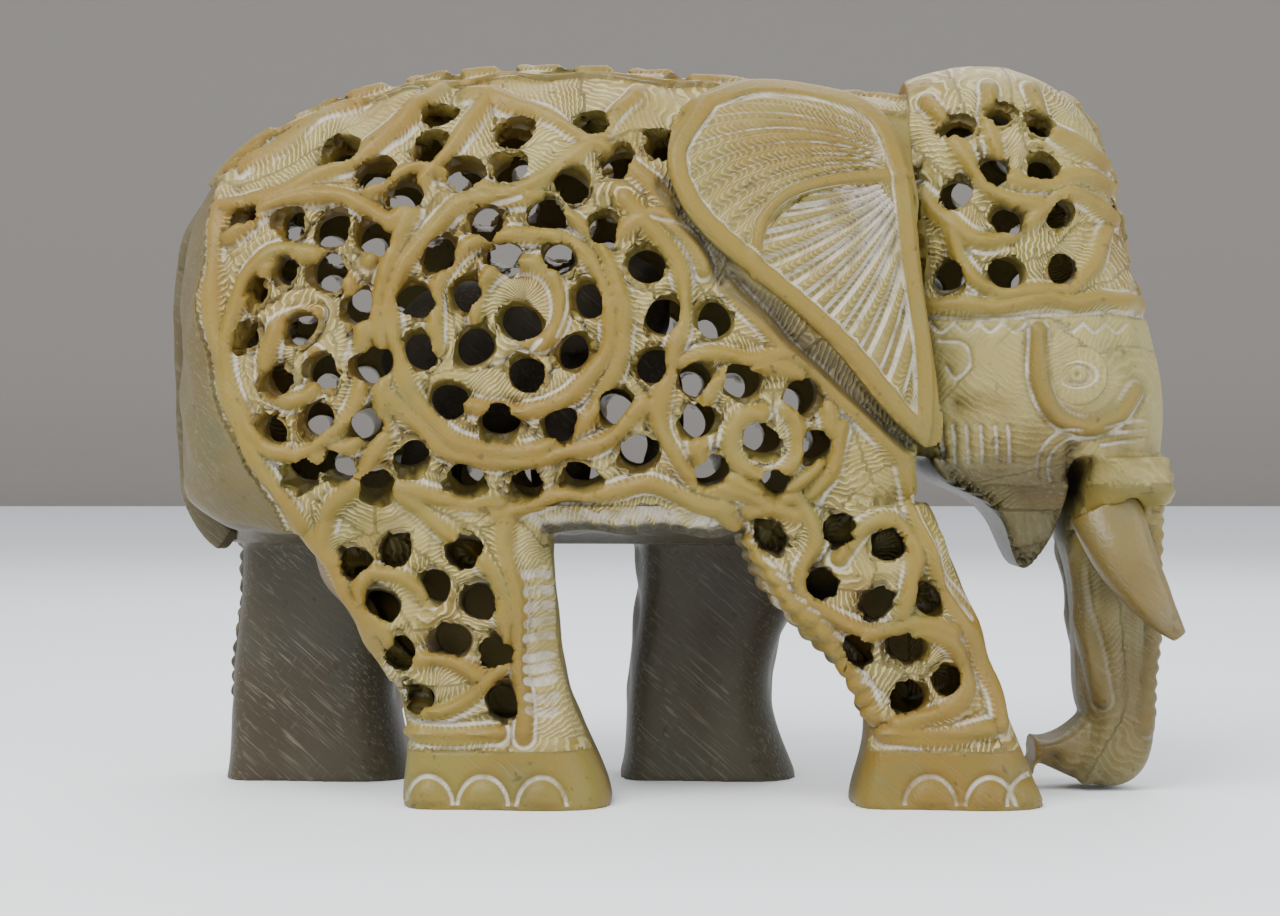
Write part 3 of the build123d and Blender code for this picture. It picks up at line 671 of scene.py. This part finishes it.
def stoneMaterial(name, look):
    material = bpy.data.materials.new(name)
    material.use_nodes = True
    tree = material.node_tree
    tree.nodes.clear()
    nodes, links = tree.nodes, tree.links

    def node(kind, **values):
        made = nodes.new(kind)
        for key, value in values.items():
            setattr(made, key, value)
        return made

    def attribute(which):
        return node("ShaderNodeAttribute", attribute_name=which).outputs["Fac"]

    def maths(kind, a, b=None, c=None):
        made = node("ShaderNodeMath", operation=kind)
        for i, value in enumerate((a, b, c)):
            if value is None:
                continue
            if isinstance(value, (int, float)):
                made.inputs[i].default_value = value
            else:
                links.new(value, made.inputs[i])
        return made.outputs[0]

    def remap(value, low, high, toLow=0.0, toHigh=1.0):
        made = node("ShaderNodeMapRange", interpolation_type="SMOOTHSTEP")
        links.new(value, made.inputs["Value"])
        for key, number in (("From Min", low), ("From Max", high), ("To Min", toLow), ("To Max", toHigh)):
            made.inputs[key].default_value = number
        return made.outputs["Result"]

    def noise(scale, detail=3.0, rough=0.55, stretch=None):
        made = node("ShaderNodeTexNoise")
        made.inputs["Scale"].default_value = scale
        made.inputs["Detail"].default_value = detail
        made.inputs["Roughness"].default_value = rough
        source = place
        if stretch:
            turned = node("ShaderNodeVectorRotate", rotation_type="EULER_XYZ")
            turned.inputs["Rotation"].default_value = stretch[1]
            links.new(place, turned.inputs["Vector"])
            drawn = node("ShaderNodeMapping")
            drawn.inputs["Scale"].default_value = stretch[0]
            links.new(turned.outputs[0], drawn.inputs["Vector"])
            source = drawn.outputs[0]
        links.new(source, made.inputs["Vector"])
        return made.outputs["Fac"]

    def blend(share, a, b):
        made = node("ShaderNodeMix", data_type="RGBA")
        if isinstance(share, (int, float)):
            made.inputs[0].default_value = share
        else:
            links.new(share, made.inputs[0])
        for socket, value in ((made.inputs[6], a), (made.inputs[7], b)):
            if isinstance(value, tuple):
                socket.default_value = (*value, 1.0)
            else:
                links.new(value, socket)
        return made.outputs[2]

    def tone(light, warm, cast):
        # clouds of two colours with patches of a third
        clouds = blend(remap(broad, 0.38, 0.62), light, warm)
        return blend(maths("MULTIPLY", remap(patch, 0.46, 0.70), 0.7), clouds, cast)

    place = node("ShaderNodeTexCoord").outputs["Object"]
    ribGap, run, cutGap = attribute("ribDist"), attribute("ribRun"), attribute("cutDist")
    inside, raised = attribute("deep"), attribute("cut")
    apart = node("ShaderNodeSeparateXYZ")
    links.new(place, apart.inputs[0])
    broad, patch, fine = noise(24.0), noise(75.0, 4.0), noise(900.0, 2.0)
    colour = tone(look["light"], look["warm"], look["cast"])
    colour = blend(attribute("face"), colour, tone(*sharedTones["face"]))
    foot = maths("MULTIPLY", remap(apart.outputs["Z"], 0.012, 0.018, 1.0, 0.0), look["foot"])
    colour = blend(foot, colour, tone(*sharedTones["foot"]))
    # golden rib tops between paler, dished leaves, with painted shade darkening the leaves towards the holes
    carved = remap(ribGap, 20.0, 24.0, 1.0, 0.0)
    onRib = maths("MULTIPLY", remap(ribGap, 0.5, 2.0, 1.0, 0.0), carved)
    onRib = maths("MULTIPLY", onRib, remap(noise(120.0, 3.0), 0.34, 0.62, 0.45, 1.0))
    colour = blend(maths("MULTIPLY", onRib, look["ribShare"]), colour, look["rib"])
    leaf = maths("MULTIPLY", remap(ribGap, 1.8, 3.6), carved)
    leaf = maths("MULTIPLY", leaf, remap(noise(55.0, 3.0), 0.36, 0.60))
    colour = blend(maths("MULTIPLY", leaf, look["leafShare"]), colour, look["leaf"])
    # painted shade: the lower the carved surface, the darker its colour
    low = maths("MULTIPLY", remap(raised, -0.5, -2.2), look["hollowShadeShare"])
    colour = blend(low, colour, look["low"])
    # fine wavy cuts across the leaves
    wave = maths("ADD", run, maths("MULTIPLY", ribGap, 0.55))
    wave = maths("ADD", wave, maths("MULTIPLY", noise(150.0, 2.0), 3.4))
    stripes = maths("SINE", maths("MULTIPLY", wave, 2 * math.pi / look["hatchPitch"]))
    where = maths("MULTIPLY", remap(ribGap, 1.2, 2.4), carved)
    where = maths("MULTIPLY", where, remap(noise(70.0, 2.0), 0.34, 0.52, 0.2, 1.0))
    where = maths("MULTIPLY", where, remap(attribute("face"), 0.0, 1.0, 1.0, 0.25))
    lineShare = maths("MULTIPLY", remap(stripes, 0.1, 0.9), maths("MULTIPLY", where, look["hatch"]))
    colour = blend(lineShare, colour, look["hatchColour"])
    # chalk left along the ribs and in the cuts
    groove = remap(maths("ABSOLUTE", maths("SUBTRACT", ribGap, 2.35)), 0.12, 0.6, 1.0, 0.0)
    groove = maths("MULTIPLY", groove, remap(noise(90.0, 3.0), 0.42, 0.60))
    groove = maths("MULTIPLY", groove, remap(attribute("face"), 0.0, 1.0, 1.0, 0.3))
    cuts = remap(cutGap, 0.2, 0.6, 1.0, 0.0)
    chalk = maths("MAXIMUM", groove, maths("MULTIPLY", cuts, remap(noise(170.0, 3.0), 0.32, 0.60, 0.25, 1.0)))
    colour = blend(maths("MULTIPLY", chalk, look["chalkShare"]), colour, look["chalk"])
    # the uncarved stone takes over with its diagonal scratches, in a dark tone that is partly painted shade
    colour = blend(attribute("plain"), colour, tone(*sharedTones["plain"]))
    scratchA = noise(1900.0, 2.0, 0.6, ((1.0, 1.0, 0.035), (0.2, 0.85, 0.3)))
    scratchB = noise(1600.0, 2.0, 0.6, ((1.0, 1.0, 0.04), (0.1, -0.6, 0.2)))
    crossing = maths("MULTIPLY", remap(scratchB, 0.60, 0.74), 0.35)
    scratch = maths("MAXIMUM", remap(scratchA, 0.52, 0.70), crossing)
    scratch = maths("MULTIPLY", scratch, remap(noise(45.0, 2.0), 0.35, 0.6, 0.35, 1.0))
    bare = maths("MAXIMUM", attribute("plain"), look["scratch"])
    colour = blend(maths("MULTIPLY", scratch, maths("MULTIPLY", bare, 0.6)), colour, look["scratchColour"])
    # painted shade that darkens deeper inside the holes and hollows, and dark grains
    holeShade = maths("MULTIPLY", remap(inside, 0.2, 5.0), look["holeShade"])
    colour = blend(holeShade, colour, look["deep"])
    colour = blend(remap(noise(380.0, 2.0, 0.5), 0.66, 0.74, 0.0, 0.45), colour, look["deep"])

    shader = node("ShaderNodeBsdfPrincipled")
    shader.inputs["Roughness"].default_value = look["roughness"]
    shader.inputs["Specular IOR Level"].default_value = look["specular"]
    shader.inputs["Coat Weight"].default_value = look["coat"]
    shader.inputs["Coat Roughness"].default_value = 0.35
    shader.inputs["Subsurface Weight"].default_value = look["glow"]
    shader.inputs["Subsurface Radius"].default_value = (0.004, 0.0025, 0.0012)
    shader.inputs["Subsurface Scale"].default_value = 1.0
    links.new(colour, shader.inputs["Base Color"])
    height = maths("MULTIPLY", maths("MULTIPLY", stripes, where), look["hatch"] * 0.7)
    height = maths("ADD", height, maths("MULTIPLY", fine, 0.4))
    height = maths("SUBTRACT", height, maths("MULTIPLY", scratch, 0.35))
    height = maths("SUBTRACT", height, maths("MULTIPLY", chalk, 0.5))
    bump = node("ShaderNodeBump")
    bump.inputs["Strength"].default_value = 0.7
    bump.inputs["Distance"].default_value = 0.0004
    links.new(height, bump.inputs["Height"])
    links.new(bump.outputs[0], shader.inputs["Normal"])
    output = node("ShaderNodeOutputMaterial")
    links.new(shader.outputs[0], output.inputs["Surface"])
    return material


# light, warm and patch colours of the parts of the block that differ
sharedTones = {
    "face": ((0.150, 0.125, 0.030), (0.130, 0.088, 0.017), (0.108, 0.098, 0.028)),
    "foot": ((0.162, 0.127, 0.022), (0.155, 0.096, 0.012), (0.118, 0.103, 0.024)),
    # the uncarved stone's tone is darkened as painted shade
    "plain": ((0.052, 0.045, 0.026), (0.040, 0.029, 0.014), (0.042, 0.040, 0.025)),
}
basicLook = {
    "light": (0.205, 0.157, 0.034), "warm": (0.170, 0.102, 0.015), "cast": (0.132, 0.118, 0.025),
    # the low colour is painted shade in the carving's hollows; the deep colour is painted shade inside the
    # holes and also the dark grains
    "rib": (0.180, 0.117, 0.015), "leaf": (0.300, 0.248, 0.090), "low": (0.045, 0.027, 0.007),
    "chalk": (0.460, 0.415, 0.340), "hatchColour": (0.450, 0.385, 0.190), "deep": (0.016, 0.010, 0.005),
    "scratchColour": (0.180, 0.163, 0.122),
    "ribShare": 0.8, "leafShare": 0.65, "hollowShadeShare": 0.75, "hatch": 0.7, "hatchPitch": 1.15,
    "chalkShare": 0.85, "scratch": 0.3, "holeShade": 0.94, "foot": 1.0,
    "roughness": 0.48, "specular": 0.28, "coat": 0.05, "glow": 0.06,
}
looks = {
    "block": {},
    "ear": {"light": (0.165, 0.132, 0.024), "warm": (0.152, 0.100, 0.015), "cast": (0.118, 0.107, 0.023),
            "hatch": 0.3, "leafShare": 0.3, "foot": 0.0},
    "amber": {"light": (0.125, 0.090, 0.018), "warm": (0.105, 0.062, 0.006), "cast": (0.110, 0.088, 0.038),
              "glow": 0.08, "roughness": 0.38, "specular": 0.4, "coat": 0.2, "scratch": 0.2, "foot": 0.0},
    # the calf deep inside the hollow gets a dark tone: painted shade
    "calf": {"light": (0.058, 0.047, 0.030), "warm": (0.044, 0.032, 0.018), "cast": (0.070, 0.057, 0.040),
             "scratch": 0.6, "roughness": 0.65, "coat": 0.0, "foot": 0.0},
}
finishes = {name: stoneMaterial("stone_" + name, {**basicLook, **change}) for name, change in looks.items()}
finishOf = {"ear_right": "ear", "ear_left": "ear", "tusk_right": "amber", "tusk_left": "amber",
            "calf": "calf"}
print("finishing", len(pieces), "pieces")
for name, piece in pieces.items():
    piece.data.materials.clear()
    piece.data.materials.append(finishes[finishOf.get(name, "block")])
    selectOnly(piece)
    bpy.ops.object.shade_smooth_by_angle(angle=math.radians(50))
    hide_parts(name)
    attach(piece, "calf" if name == "calf" else "block")


studioSettings = {"floor": (0.86, 0.88, 0.90), "backdrop": (0.30, 0.27, 0.24), "key": 13.0, "fill": 4.5,
                  "rear": 6.0, "world": 1.1}


def makeStudio():
    bpy.ops.object.select_all(action="DESELECT")
    bpy.ops.mesh.primitive_plane_add(size=6.0, location=(0, 0, 0))
    floor = bpy.context.object
    floor.name = "floor"
    paper = bpy.data.materials.new("palePaper")
    paper.use_nodes = True
    shader = paper.node_tree.nodes["Principled BSDF"]
    shader.inputs["Base Color"].default_value = (*studioSettings["floor"], 1.0)
    shader.inputs["Roughness"].default_value = 0.55
    cloth = paper.copy()
    cloth.name = "backdropCloth"
    shader = cloth.node_tree.nodes["Principled BSDF"]
    shader.inputs["Base Color"].default_value = (*studioSettings["backdrop"], 1.0)
    floor.data.materials.append(paper)
    floor.data.materials.append(cloth)
    # the far edge sweeps up into a backdrop
    bpy.ops.object.mode_set(mode="EDIT")
    bpy.ops.mesh.select_all(action="DESELECT")
    bpy.ops.object.mode_set(mode="OBJECT")
    for edge in floor.data.edges:
        ends = [floor.data.vertices[i].co.y for i in edge.vertices]
        edge.select = min(ends) > 2.9
    bpy.ops.object.mode_set(mode="EDIT")
    for rise, back in ((0.05, 0.3), (0.25, 0.25), (0.5, 0.12), (2.5, 0.0)):
        bpy.ops.mesh.extrude_region_move(TRANSFORM_OT_translate={"value": (0, back, rise)})
    bpy.ops.object.mode_set(mode="OBJECT")
    for face in floor.data.polygons:
        face.material_index = 1 if face.center.y > 2.9 else 0
    bpy.ops.object.shade_smooth()
    for label, place, size, power, tint in (
        ("keyLight", (-0.35, -0.55, 0.75), 0.6, studioSettings["key"], (1.0, 0.98, 0.95)),
        ("fillLight", (0.65, -0.5, 0.35), 0.7, studioSettings["fill"], (0.93, 0.96, 1.0)),
        ("rearLight", (0.1, 0.7, 0.8), 0.8, studioSettings["rear"], (1.0, 1.0, 1.0)),
    ):
        lamp = bpy.data.lights.new(label, "AREA")
        lamp.size, lamp.energy, lamp.color = size, power, tint
        holder = bpy.data.objects.new(label, lamp)
        holder.location = place
        aim = Vector((0, 0, 0.07)) - Vector(place)
        holder.rotation_euler = aim.to_track_quat("-Z", "Y").to_euler()
        bpy.context.scene.collection.objects.link(holder)
    world = bpy.data.worlds.new("studio")
    world.use_nodes = True
    world.node_tree.nodes["Background"].inputs[0].default_value = (0.90, 0.94, 1.0, 1.0)
    world.node_tree.nodes["Background"].inputs[1].default_value = studioSettings["world"]
    bpy.context.scene.world = world
    lens = bpy.data.cameras.new("camera")
    lens.lens, lens.sensor_width, lens.shift_y = 74.9, 36.0, -0.0047
    lens.clip_start = 0.01
    camera = bpy.data.objects.new("camera", lens)
    camera.location = (-0.0068, -0.580, 0.073)
    camera.rotation_euler = (math.radians(90), 0, 0)
    bpy.context.scene.collection.objects.link(camera)
    bpy.context.scene.camera = camera


makeStudio()
